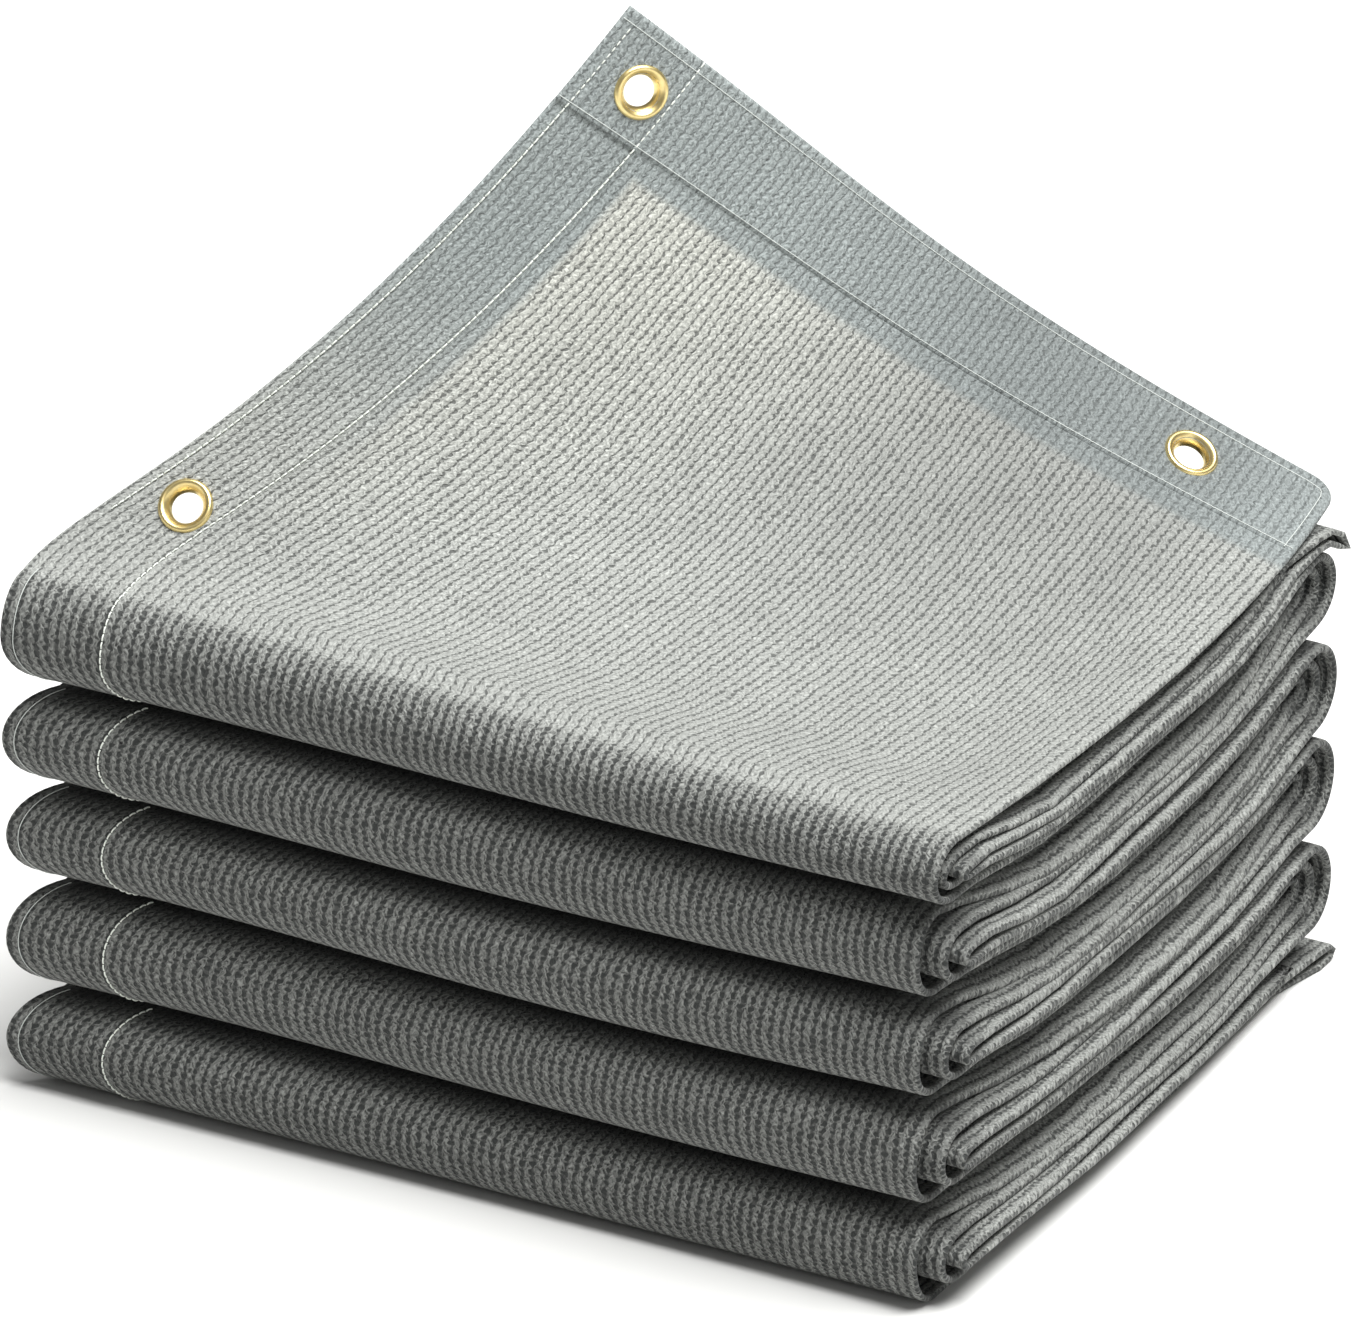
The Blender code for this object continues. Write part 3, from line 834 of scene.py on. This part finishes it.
# metres for the thread, shares of the lifted layer for the lines
stitch = {
    "pitch": 0.0029,
    "length": 0.0024,
    "radius": 0.00032,
    "arch": 0.0004,
    "finePitch": 0.0022,
    "fineLength": 0.0023,
    "fineRadius": 0.00020,
    "fineArch": 0.00012,
    "sideLine": 0.1090,
    "sideOuter": 0.0150,
    "sideEnds": ((0.995, 0.13), (0.125, 0.0)),
    "outerEnds": (0.975, 0.13),
    "rearLine": 0.866,
    "rearEnds": (0.004, 0.993),
    "rearInset": 0.0050,
}


def stitchTree():
    # lays small arched threads end to end along every line of the incoming mesh
    tree = bpy.data.node_groups.new("threadStitches", "GeometryNodeTree")
    tree.interface.new_socket("Geometry", in_out="INPUT", socket_type="NodeSocketGeometry")
    for label in ("Pitch", "Length", "Radius", "Arch"):
        tree.interface.new_socket(label, in_out="INPUT", socket_type="NodeSocketFloat")
    tree.interface.new_socket("Thread", in_out="INPUT", socket_type="NodeSocketMaterial")
    tree.interface.new_socket("Geometry", in_out="OUTPUT", socket_type="NodeSocketGeometry")
    start = addNode(tree, "NodeGroupInput")
    ready = start.outputs
    lines = addNode(tree, "GeometryNodeMeshToCurve", None, {"Mesh": ready["Geometry"]})
    spaced = addNode(tree, "GeometryNodeResampleCurve", {"mode": "LENGTH"},
                     {"Curve": lines, "Length": ready["Pitch"]})
    tangent = addNode(tree, "GeometryNodeInputTangent")
    facing = addNode(tree, "GeometryNodeInputNamedAttribute", {"data_type": "FLOAT_VECTOR"}, {"Name": "facing"})
    turned = addNode(tree, "FunctionNodeAlignRotationToVector", {"axis": "X"}, {"Vector": tangent})
    turned = addNode(tree, "FunctionNodeAlignRotationToVector", {"axis": "Z", "pivot_axis": "X"},
                     {"Rotation": turned, "Vector": facing})
    half = addNode(tree, "ShaderNodeMath", {"operation": "MULTIPLY"}, {0: ready["Length"], 1: 0.5})
    less = addNode(tree, "ShaderNodeMath", {"operation": "MULTIPLY"}, {0: half, 1: -1.0})
    rise = addNode(tree, "ShaderNodeMath", {"operation": "MULTIPLY"}, {0: ready["Arch"], 1: 2.0})
    firstEnd = addNode(tree, "ShaderNodeCombineXYZ", None, {"X": less})
    middle = addNode(tree, "ShaderNodeCombineXYZ", None, {"Z": rise})
    lastEnd = addNode(tree, "ShaderNodeCombineXYZ", None, {"X": half})
    arc = addNode(tree, "GeometryNodeCurveQuadraticBezier", None,
                  {"Resolution": 5, "Start": firstEnd, "Middle": middle, "End": lastEnd})
    ring = addNode(tree, "GeometryNodeCurvePrimitiveCircle", None, {"Resolution": 6, "Radius": ready["Radius"]})
    thread = addNode(tree, "GeometryNodeCurveToMesh", None, {"Curve": arc, "Profile Curve": ring, "Fill Caps": True})
    laid = addNode(tree, "GeometryNodeInstanceOnPoints", None,
                   {"Points": spaced, "Instance": thread, "Rotation": turned})
    real = addNode(tree, "GeometryNodeRealizeInstances", None, {"Geometry": laid})
    coloured = addNode(tree, "GeometryNodeSetMaterial", None, {"Geometry": real, "Material": ready["Thread"]})
    addNode(tree, "NodeGroupOutput", None, {"Geometry": coloured})
    return tree


def flapLine(across, along, lift):
    count = 90
    across = np.linspace(*across, count)
    along = np.linspace(*along, count)
    normals = liftedNormals(across, along)
    return liftedPoints(across, along) + normals * lift, normals


def roundTheCorner(inset):
    # along the rear edge, round the corner and down the right edge to the inner seam
    right = 1.0 - inset / sheet["width"]
    rear = 1.0 - inset / flap["length"]
    across = np.concatenate((np.linspace(0.004, right, 90), np.full(14, right)))
    along = np.concatenate((np.full(90, rear), np.linspace(rear, stitch["rearLine"], 15)[1:]))
    normals = liftedNormals(across, along)
    lift = sheet["hemHalf"] + sheet["hemRaised"]
    return liftedPoints(across, along) + normals * lift, normals


def foldLines(share):
    # the seam's way down the face of each front fold
    lines = []
    ends = [share - 0.004, share, share + 0.004]
    top = len(pile["foldHeights"])
    for fold in range(top, -1, -1):
        rows = []
        for angle in np.linspace(90.0 if fold == top else 82.0, -82.0, 30):
            station = ("front", fold, 0, float(angle))
            x = between(*stationEnds(station), np.array(ends))
            rows.append(settled(x, *stationPoint(station, x)))
        rows = np.array(rows)
        along = np.gradient(rows[:, 1], axis=0)
        normals = np.cross(along, rows[:, 2] - rows[:, 0])
        normals /= np.linalg.norm(normals, axis=1)[:, None]
        lines.append((rows[:, 1] + normals * sheet["halfThick"], normals))
    return lines


def sewLines(name, lines, tree, thread, sizes):
    places, edges, facings = [], [], []
    for points, normals in lines:
        edges += [(len(places) + n, len(places) + n + 1) for n in range(len(points) - 1)]
        places += [tuple(point) for point in points]
        facings += [tuple(normal) for normal in normals]
    mesh = bpy.data.meshes.new(name)
    mesh.from_pydata(places, edges, [])
    attribute = mesh.attributes.new("facing", "FLOAT_VECTOR", "POINT")
    attribute.data.foreach_set("vector", np.array(facings, np.float32).ravel())
    item = bpy.data.objects.new(name, mesh)
    bpy.context.scene.collection.objects.link(item)
    sewing = item.modifiers.new("sewing", "NODES")
    sewing.node_group = tree
    sockets = {socket.name: socket.identifier for socket in tree.interface.items_tree if socket.in_out == "INPUT"}
    for label, value in sizes.items():
        sewing[sockets[label]] = value
    sewing[sockets["Thread"]] = thread
    bpy.context.view_layer.update()
    sewn = bpy.data.meshes.new_from_object(item.evaluated_get(bpy.context.evaluated_depsgraph_get()))
    item.modifiers.clear()
    item.data = sewn
    sewn.shade_smooth()
    return item


# pitches and hem widths in metres; the courses of the lifted layer are set a little wider than the others
knit = {
    "ribPitch": 0.0044,
    "coursePitch": 0.00275,
    "liftedCoursePitch": 0.0034,
    "colour": "#949692",
    "hemColour": "#828887",
    # painted shade: the colour of the holes and of the lines between the ribs
    "paintedHoleShadeColour": "#222524",
    # painted light: the paler colour of the single cloth near the lifted corner
    "paintedThroughLightColour": "#a7a8a1",
    "hemMetres": 0.0445,
    "turnedUnder": 0.0110,
    # noise scale, then how far it moves the ribs and the courses
    "coarseWander": (70.0, 0.0018, 0.0025),
    "fineWander": (420.0, 0.0030, 0.0030),
    "cloudScale": 28.0,
    # share of each hole and line that a doubled hem hides, how much painted light makes the lifted layer paler on its
    # left, and how much deeper it gets at its rear
    "hemHides": 0.50,
    "leftPaintedLight": 0.30,
    "rearDeeper": 0.20,
    "reliefStrength": 0.75,
    "reliefDepth": 0.0006,
    "roughness": 0.72,
}


def knitMaterial(name):
    # raschel knit of flat polyethylene tape: matt grey ribs of small loops, with a dark line of holes between
    # them; the holes open into a ladder and show more shade where the cloth is stretched round a fold,
    # and the dark of the holes and lines is painted shade in the colour
    material, tree, shader = newMaterial(name)
    coarseScale, coarseRibs, coarseCourses = knit["coarseWander"]
    fineScale, fineRibs, fineCourses = knit["fineWander"]
    place = addNode(tree, "ShaderNodeUVMap", {"uv_map": "clothMetres"})
    split = addNode(tree, "ShaderNodeSeparateXYZ", None, {0: place})
    coarseWander = addNode(tree, "ShaderNodeTexNoise", None, {"Vector": place, "Scale": coarseScale, "Detail": 0.0})
    fineWander = addNode(tree, "ShaderNodeTexNoise", None, {"Vector": place, "Scale": fineScale, "Detail": 1.0})
    coarseWay = addNode(tree, "ShaderNodeSeparateColor", None, {0: coarseWander.outputs["Color"]})
    fineWay = addNode(tree, "ShaderNodeSeparateColor", None, {0: fineWander.outputs["Color"]})
    stretchAndShade = addNode(tree, "ShaderNodeAttribute", {"attribute_name": "stretchAndShade"})
    shade = addNode(tree, "ShaderNodeAttribute", {"attribute_name": "shade"})
    cloud = addNode(tree, "ShaderNodeTexNoise", None, {"Vector": place, "Scale": knit["cloudScale"], "Detail": 1.0})
    values = {
        "u": split.outputs[0],
        "v": split.outputs[1],
        "coarseU": coarseWay.outputs[0],
        "coarseV": coarseWay.outputs[1],
        "fineU": fineWay.outputs[0],
        "fineV": fineWay.outputs[1],
        "stretchAndShade": stretchAndShade.outputs["Fac"],
        "shade": shade.outputs["Fac"],
        "cloud": cloud.outputs["Fac"],
    }
    workSums(tree, values, (
        # ribs and courses counted from the corner, wandering by about a millimetre
        ("u1", "MULTIPLY_ADD", "coarseU", coarseRibs, "u"),
        ("u2", "MULTIPLY_ADD", "fineU", fineRibs, "u1"),
        ("rib", "DIVIDE", "u2", knit["ribPitch"]),
        ("v1", "MULTIPLY_ADD", "coarseV", coarseCourses, "v"),
        ("v2", "MULTIPLY_ADD", "fineV", fineCourses, "v1"),
        ("vLifted", "MINIMUM", "v2", flap["length"]),
        ("vRest", "SUBTRACT", "v2", "vLifted"),
        ("course1", "DIVIDE", "vLifted", knit["liftedCoursePitch"]),
        ("course2", "DIVIDE", "vRest", knit["coursePitch"]),
        ("course", "ADD", "course1", "course2"),
        ("ribWay", "FRACT", "rib"),
        ("ribSide", "SUBTRACT", "ribWay", 0.5),
        ("ribOff", "ABSOLUTE", "ribSide"),
        ("gap", "SUBTRACT", 0.5, "ribOff"),
        ("courseWay", "FRACT", "course"),
        ("courseSide", "SUBTRACT", "courseWay", 0.5),
        ("courseOff", "ABSOLUTE", "courseSide"),
        # the line between two ribs and one hole in it at each course
        ("lineWide", "MULTIPLY_ADD", "stretchAndShade", 0.06, 0.085),
        ("lineAway", "DIVIDE", "gap", "lineWide"),
        ("holeWide", "MULTIPLY_ADD", "stretchAndShade", 0.15, 0.13),
        ("holeU", "DIVIDE", "gap", "holeWide"),
        ("holeV", "DIVIDE", "courseOff", 0.36),
        ("holeU3", "POWER", "holeU", 2.6),
        ("holeV3", "POWER", "holeV", 2.6),
        ("holeAway", "ADD", "holeU3", "holeV3"),
        # slanted tapes of the loops, two to a rib
        ("slant1", "MULTIPLY_ADD", "rib", -2.0, "course"),
        ("slant2", "MULTIPLY", "slant1", 6.2832),
        ("slant", "SINE", "slant2"),
        ("chevron", "MULTIPLY_ADD", "ribOff", -1.3, "course"),
        ("turns", "MULTIPLY", "chevron", 6.2832),
        ("loop", "SINE", "turns"),
        ("domeA", "MULTIPLY", "ribSide", "ribSide"),
        ("dome", "MULTIPLY_ADD", "domeA", -4.0, 1.0),
        # single tapes, drawn about 0.8 mm wide so that they show
        ("threadU", "MULTIPLY", "rib", 5.5),
        ("threadV", "MULTIPLY", "course", 2.4),
        # distance past each hem's doubled edge, and from the hem's inner corner
        ("pastSide", "SUBTRACT", "u", knit["hemMetres"] + 0.7 * knit["turnedUnder"]),
        ("pastRear", "SUBTRACT", "v", knit["hemMetres"] + knit["turnedUnder"]),
        ("single", "MINIMUM", "pastSide", "pastRear"),
        ("far", "ADD", "pastSide", "pastRear"),
    ))
    # each line: result, what it follows, where it begins and ends, and its values there
    for result, source, begins, ends, first, last in (
        ("line", "lineAway", 0.35, 1.30, 1.0, 0.0),
        ("opening", "holeAway", 0.40, 1.30, 1.0, 0.0),
        ("field", "single", -0.0030, 0.0035, 0.0, 1.0),
        ("corner", "far", -0.02, 0.260, 1.0, 0.0),
        ("fades", "v", 0.10, 0.24, 1.0, 0.0),
        ("leftSide", "u", 0.06, 0.26, 1.0, 0.0),
        ("leftBack", "v", 0.21, 0.310, 1.0, 0.0),
        ("rearSide", "u", 0.12, 0.26, 0.0, 1.0),
        ("rearEnd", "u", 0.33, 0.385, 1.0, 0.0),
        ("rearBack", "v", 0.06, 0.24, 1.0, 0.0),
    ):
        ease = addNode(tree, "ShaderNodeMapRange", {"interpolation_type": "SMOOTHSTEP"},
                       {"Value": values[source], "From Min": begins, "From Max": ends, "To Min": first, "To Max": last})
        values[result] = ease.outputs[0]
    threads = addNode(tree, "ShaderNodeCombineXYZ", None, {0: values["threadU"], 1: values["threadV"]})
    fibre = addNode(tree, "ShaderNodeTexNoise", None, {"Vector": threads, "Scale": 1.0, "Detail": 2.0})
    values["fibre"] = fibre.outputs["Fac"]
    workSums(tree, values, (
        # painted light: single cloth near the corner is made paler, as if light came through it; a doubled hem shows no
        # holes
        ("through", "MULTIPLY", "field", "corner"),
        ("band1", "SUBTRACT", 1.0, "field"),
        ("band", "MULTIPLY", "band1", "fades"),
        ("solid", "MULTIPLY_ADD", "band", -knit["hemHides"], 1.0),
        # no two holes are alike
        ("uneven1", "MULTIPLY_ADD", "fibre", 1.6, 0.20),
        ("uneven", "MULTIPLY", "uneven1", "solid"),
        ("lineDeep1", "MULTIPLY_ADD", "stretchAndShade", 0.42, 0.28),
        ("lineDeep", "MULTIPLY", "lineDeep1", "uneven"),
        ("lineDark", "MULTIPLY", "line", "lineDeep"),
        ("holeDeep1", "MULTIPLY_ADD", "stretchAndShade", 0.30, 0.64),
        ("holeDeep", "MULTIPLY", "holeDeep1", "uneven"),
        ("holeDark1", "MULTIPLY", "opening", "holeDeep"),
        ("holeDark", "MINIMUM", "holeDark1", 0.95),
        ("hole", "MAXIMUM", "lineDark", "holeDark"),
        ("high1", "MULTIPLY_ADD", "loop", 0.16, "dome"),
        ("high2", "MULTIPLY_ADD", "fibre", 0.55, "high1"),
        ("high3", "MULTIPLY_ADD", "slant", 0.10, "high2"),
        ("height", "MULTIPLY_ADD", "hole", -1.2, "high3"),
        # tone: threads and loops show more where the cloth is stretched; the lighter loops and rib domes are painted
        # highlight, and the fibre speckle is partly uneven tape and partly painted highlight
        ("fibreOff", "SUBTRACT", "fibre", 0.5),
        ("fibreShow", "MULTIPLY_ADD", "stretchAndShade", 1.6, 2.00),
        ("tone1", "MULTIPLY_ADD", "fibreOff", "fibreShow", 0.92),
        ("loopShow", "MULTIPLY_ADD", "stretchAndShade", 0.17, 0.05),
        ("loopPaintedHighlight", "MULTIPLY", "loop", "loopShow"),
        ("slantShow", "MULTIPLY_ADD", "stretchAndShade", 0.10, 0.06),
        ("tone2", "MULTIPLY_ADD", "slant", "slantShow", "tone1"),
        ("tone3", "ADD", "tone2", "loopPaintedHighlight"),
        ("tone4", "MULTIPLY_ADD", "cloud", 0.16, "tone3"),
        ("tone5", "MULTIPLY_ADD", "dome", 0.10, "tone4"),
        ("tone6", "SUBTRACT", "tone5", 0.09),
        # partly painted shade: the stretched fold faces and right ends are darkened all over, beyond what their opened
        # holes show
        ("openKnitAndPaintedShade", "MULTIPLY_ADD", "stretchAndShade", -0.53, 1.0),
        # painted shade: the knit is darkened by the shade mark in the deep gaps between folds and layers
        ("paintedShadeOfGaps", "MULTIPLY_ADD", "shade", -0.80, 1.0),
        ("tone7", "MULTIPLY", "tone6", "openKnitAndPaintedShade"),
        ("tone8", "MULTIPLY", "tone7", "paintedShadeOfGaps"),
        # the lifted layer is paler towards its left side, painted light on its lifted slope, and deeper along its rear
        # hem
        ("leftPaintedLightMask", "MULTIPLY", "leftSide", "leftBack"),
        ("rearDeep1", "MULTIPLY", "rearSide", "rearBack"),
        ("rearDeep", "MULTIPLY", "rearDeep1", "rearEnd"),
        ("pale1", "MULTIPLY_ADD", "leftPaintedLightMask", knit["leftPaintedLight"], 1.0),
        ("pale", "MULTIPLY_ADD", "rearDeep", -knit["rearDeeper"], "pale1"),
        ("tone", "MULTIPLY", "tone8", "pale"),
    ))
    mixes = {"data_type": "RGBA", "blend_type": "MIX"}
    plain = addNode(tree, "ShaderNodeMix", mixes, {0: values["band"], 6: linearColour(knit["colour"]),
                                                   7: linearColour(knit["hemColour"])})
    # painted light: the single cloth near the corner is mixed to the paler colour
    lit = addNode(tree, "ShaderNodeMix", mixes, {0: values["through"], 6: plain.outputs[2],
                                                 7: linearColour(knit["paintedThroughLightColour"])})
    toned = addNode(tree, "ShaderNodeVectorMath", {"operation": "SCALE"}, {0: lit.outputs[2], 3: values["tone"]})
    # painted shade: holes and lines are mixed to the dark hole colour
    holed = addNode(tree, "ShaderNodeMix", mixes, {0: values["hole"], 6: toned.outputs[0],
                                                   7: linearColour(knit["paintedHoleShadeColour"])})
    bump = addNode(tree, "ShaderNodeBump", None, {"Height": values["height"], "Strength": knit["reliefStrength"],
                                                  "Distance": knit["reliefDepth"]})
    tree.links.new(holed.outputs[2], shader.inputs["Base Color"])
    tree.links.new(bump.outputs[0], shader.inputs["Normal"])
    shader.inputs["Roughness"].default_value = knit["roughness"]
    shader.inputs["Sheen Weight"].default_value = 0.08
    shader.inputs["Specular IOR Level"].default_value = 0.35
    return material


def brassMaterial():
    # polished brass, stamped and rolled: a warm, soft mirror with a little uneven tarnish
    material, tree, shader = newMaterial("polishedBrass")
    place = addNode(tree, "ShaderNodeTexCoord")
    tarnish = addNode(tree, "ShaderNodeTexNoise", None,
                      {"Vector": place.outputs["Object"], "Scale": 420.0, "Detail": 3.0})
    colour = addNode(tree, "ShaderNodeMix", {"data_type": "RGBA"},
                     {0: tarnish.outputs["Fac"], 6: linearColour("#f8e8b0"), 7: linearColour("#e6ca80")})
    rough = addNode(tree, "ShaderNodeMapRange", None, {"Value": tarnish.outputs["Fac"], "To Min": 0.30, "To Max": 0.42})
    bump = addNode(tree, "ShaderNodeBump", None,
                   {"Height": tarnish.outputs["Fac"], "Strength": 0.15, "Distance": 0.0001})
    tree.links.new(colour.outputs[2], shader.inputs["Base Color"])
    tree.links.new(rough.outputs[0], shader.inputs["Roughness"])
    tree.links.new(bump.outputs[0], shader.inputs["Normal"])
    shader.inputs["Metallic"].default_value = 1.0
    return material


def threadMaterial(name, pale, dark):
    # twisted polyester sewing thread: slightly shiny, paler than the knit
    material, tree, shader = newMaterial(name)
    place = addNode(tree, "ShaderNodeTexCoord")
    twist = addNode(tree, "ShaderNodeTexNoise", None,
                    {"Vector": place.outputs["Object"], "Scale": 900.0, "Detail": 1.0})
    colour = addNode(tree, "ShaderNodeMix", {"data_type": "RGBA"},
                     {0: twist.outputs["Fac"], 6: linearColour(pale), 7: linearColour(dark)})
    tree.links.new(colour.outputs[2], shader.inputs["Base Color"])
    shader.inputs["Roughness"].default_value = 0.5
    return material


clothKnit = knitMaterial("raschelTapeKnit")
hemKnit = knitMaterial("doubledHemKnit")
brass = brassMaterial()
whiteThread = threadMaterial("whiteSewingThread", "#f4f6ee", "#cfd6cc")
greyThread = threadMaterial("greySewingThread", "#d8dcd8", "#a9afab")
foldedCloth.data.materials.clear()
foldedCloth.data.materials.append(clothKnit)
hemStrip.data.materials.clear()
hemStrip.data.materials.append(hemKnit)
for ring in eyelets:
    ring.data.materials.append(brass)
print("knit, brass and thread finished")

sewingTree = stitchTree()
hemTop = sheet["hemHalf"]
coarse = {"Pitch": stitch["pitch"], "Length": stitch["length"], "Radius": stitch["radius"], "Arch": stitch["arch"]}
fine = {"Pitch": stitch["finePitch"], "Length": stitch["fineLength"],
        "Radius": stitch["fineRadius"], "Arch": stitch["fineArch"]}
onHem, onCloth = stitch["sideEnds"]
sideSeams = sewLines("sideHemStitches", [
    flapLine((stitch["sideLine"],) * 2, onHem, hemTop),
    flapLine((stitch["sideLine"],) * 2, onCloth, sheet["halfThick"]),
    flapLine((stitch["sideOuter"],) * 2, stitch["outerEnds"], hemTop),
] + foldLines(stitch["sideLine"]), sewingTree, whiteThread, coarse)
rearSeams = sewLines("rearHemStitches", [
    flapLine(stitch["rearEnds"], (stitch["rearLine"],) * 2, hemTop + sheet["hemRaised"]),
    roundTheCorner(stitch["rearInset"]),
] + foldLines(stitch["sideOuter"]), sewingTree, greyThread, fine)
print("seams sewn")

clothPieces = (
    (foldedCloth, "grey_knit", ("cloth",)),
    (hemStrip, "grey_hem", ("eyelet_hem",)),
    (sideSeams, "grey_hem", ()),
    (rearSeams, "grey_hem", ()),
)
for piece, slotName, nodes in clothPieces:
    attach(piece, "root")
    if nodes:
        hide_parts(*nodes)
for ring, (nodeName, across, along) in zip(eyelets, eyelet["places"]):
    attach(ring, "root")
    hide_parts(nodeName)

print("pieces placed on the part")
